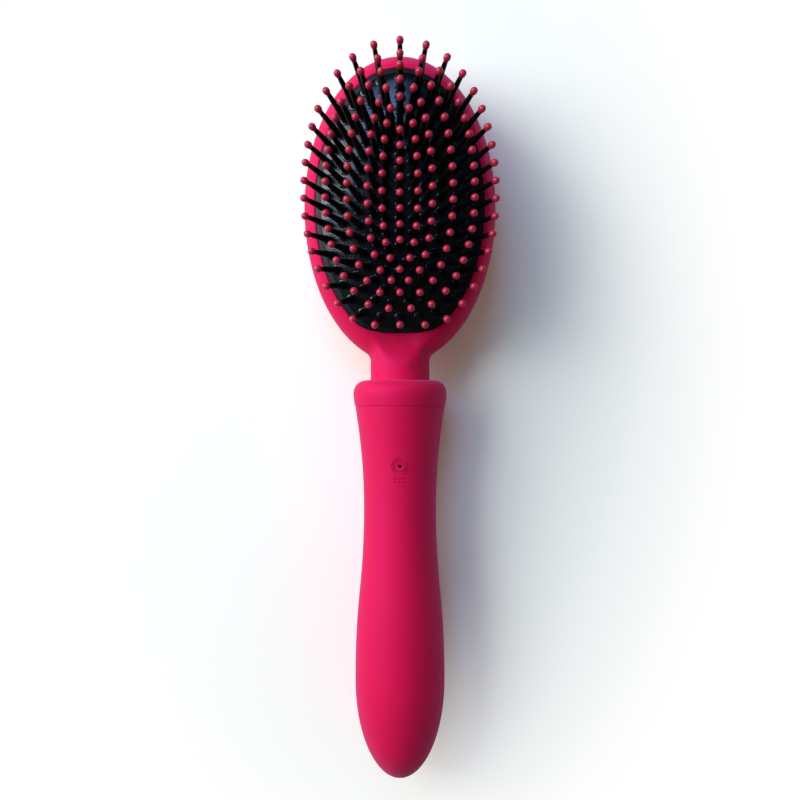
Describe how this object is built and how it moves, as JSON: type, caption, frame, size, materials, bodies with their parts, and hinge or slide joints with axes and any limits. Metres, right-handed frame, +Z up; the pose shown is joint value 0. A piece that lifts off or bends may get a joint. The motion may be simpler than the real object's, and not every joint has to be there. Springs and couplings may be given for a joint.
{
  "type": "vibrating styling brush",
  "caption": "Cushioned paddle hairbrush with a studded back, a pull-off head and a round grip that holds a battery, a vibration motor and push buttons.",
  "frame": {"origin": "centre of the ground footprint's box: midway along the length, on the centre line, on the surface that the brush lies on", "axes": "+Y from the handle's round tip to the head's crown, +X across the width, +Z up, the way the bristles point"},
  "size_m": [0.0662, 0.25, 0.0479],
  "materials": {
    "silicone": "soft satin silicone",
    "shell_plastic": "moulded satin",
    "screw_steel": "zinc plated",
    "motor_steel": "drawn and plated",
    "bush_bronze": "turned",
    "seal_rubber": "matt",
    "dark_plastic": "moulded matt",
    "battery_wrap": "shrunk film",
    "pad_foam": "open foam",
    "lead_sleeve": "extruded",
    "board_laminate": "lacquered",
    "frame_plastic": "moulded matt",
    "pad_rubber": "glossy moulded rubber",
    "pin_plastic": "moulded gloss",
    "tip_plastic": "moulded gloss"
  },
  "bodies": {
    "handle": {"handle_sleeve": "silicone", "chassis_front": "shell_plastic", "chassis_back": "shell_plastic", "chassis_screws": "screw_steel", "spigot": "shell_plastic", "spigot_ring": "seal_rubber", "motor_can": "motor_steel", "motor_bush": "bush_bronze", "motor_end_cap": "dark_plastic", "motor_boot": "seal_rubber", "battery_cell": "battery_wrap", "battery_pads": "pad_foam", "battery_leads": "lead_sleeve", "motor_leads": "lead_sleeve", "circuit_board": "board_laminate", "controller_chip": "dark_plastic", "charge_jack": "dark_plastic", "charge_contact": "bush_bronze", "upper_switch": "dark_plastic", "lower_switch": "dark_plastic"},
    "motor_rotor": {"motor_shaft": "screw_steel", "motor_armature": "motor_steel", "eccentric_weight": "screw_steel"},
    "upper_key": {"upper_button": "silicone", "upper_plunger": "shell_plastic"},
    "lower_key": {"lower_button": "silicone", "lower_plunger": "shell_plastic"},
    "head": {"collar_socket": "shell_plastic", "collar_cover": "silicone", "neck_screws": "screw_steel", "head_core": "shell_plastic", "head_sleeve": "silicone", "pad_frame": "frame_plastic", "cushion": "pad_rubber", "bristle_pins": "pin_plastic", "ball_tips": "tip_plastic"}
  },
  "joints": [
    {"name": "motor_spin", "type": "hinge", "parent": "handle", "child": "motor_rotor", "pos_m": [0, -0.1, 0.0162], "axis": [0, 1, 0], "continuous": true},
    {"name": "upper_key_press", "type": "slide", "parent": "handle", "child": "upper_key", "axis": [0, 0, 1], "range_m": [0, 0.0006], "stiffness_N_per_m": 2500, "springref_m": -0.0002},
    {"name": "lower_key_press", "type": "slide", "parent": "handle", "child": "lower_key", "axis": [0, 0, 1], "range_m": [0, 0.0006], "stiffness_N_per_m": 2500, "springref_m": -0.0002},
    {"name": "head_pull", "type": "slide", "parent": "handle", "child": "head", "axis": [0, 1, 0], "range_m": [0, 0.012]}
  ]
}
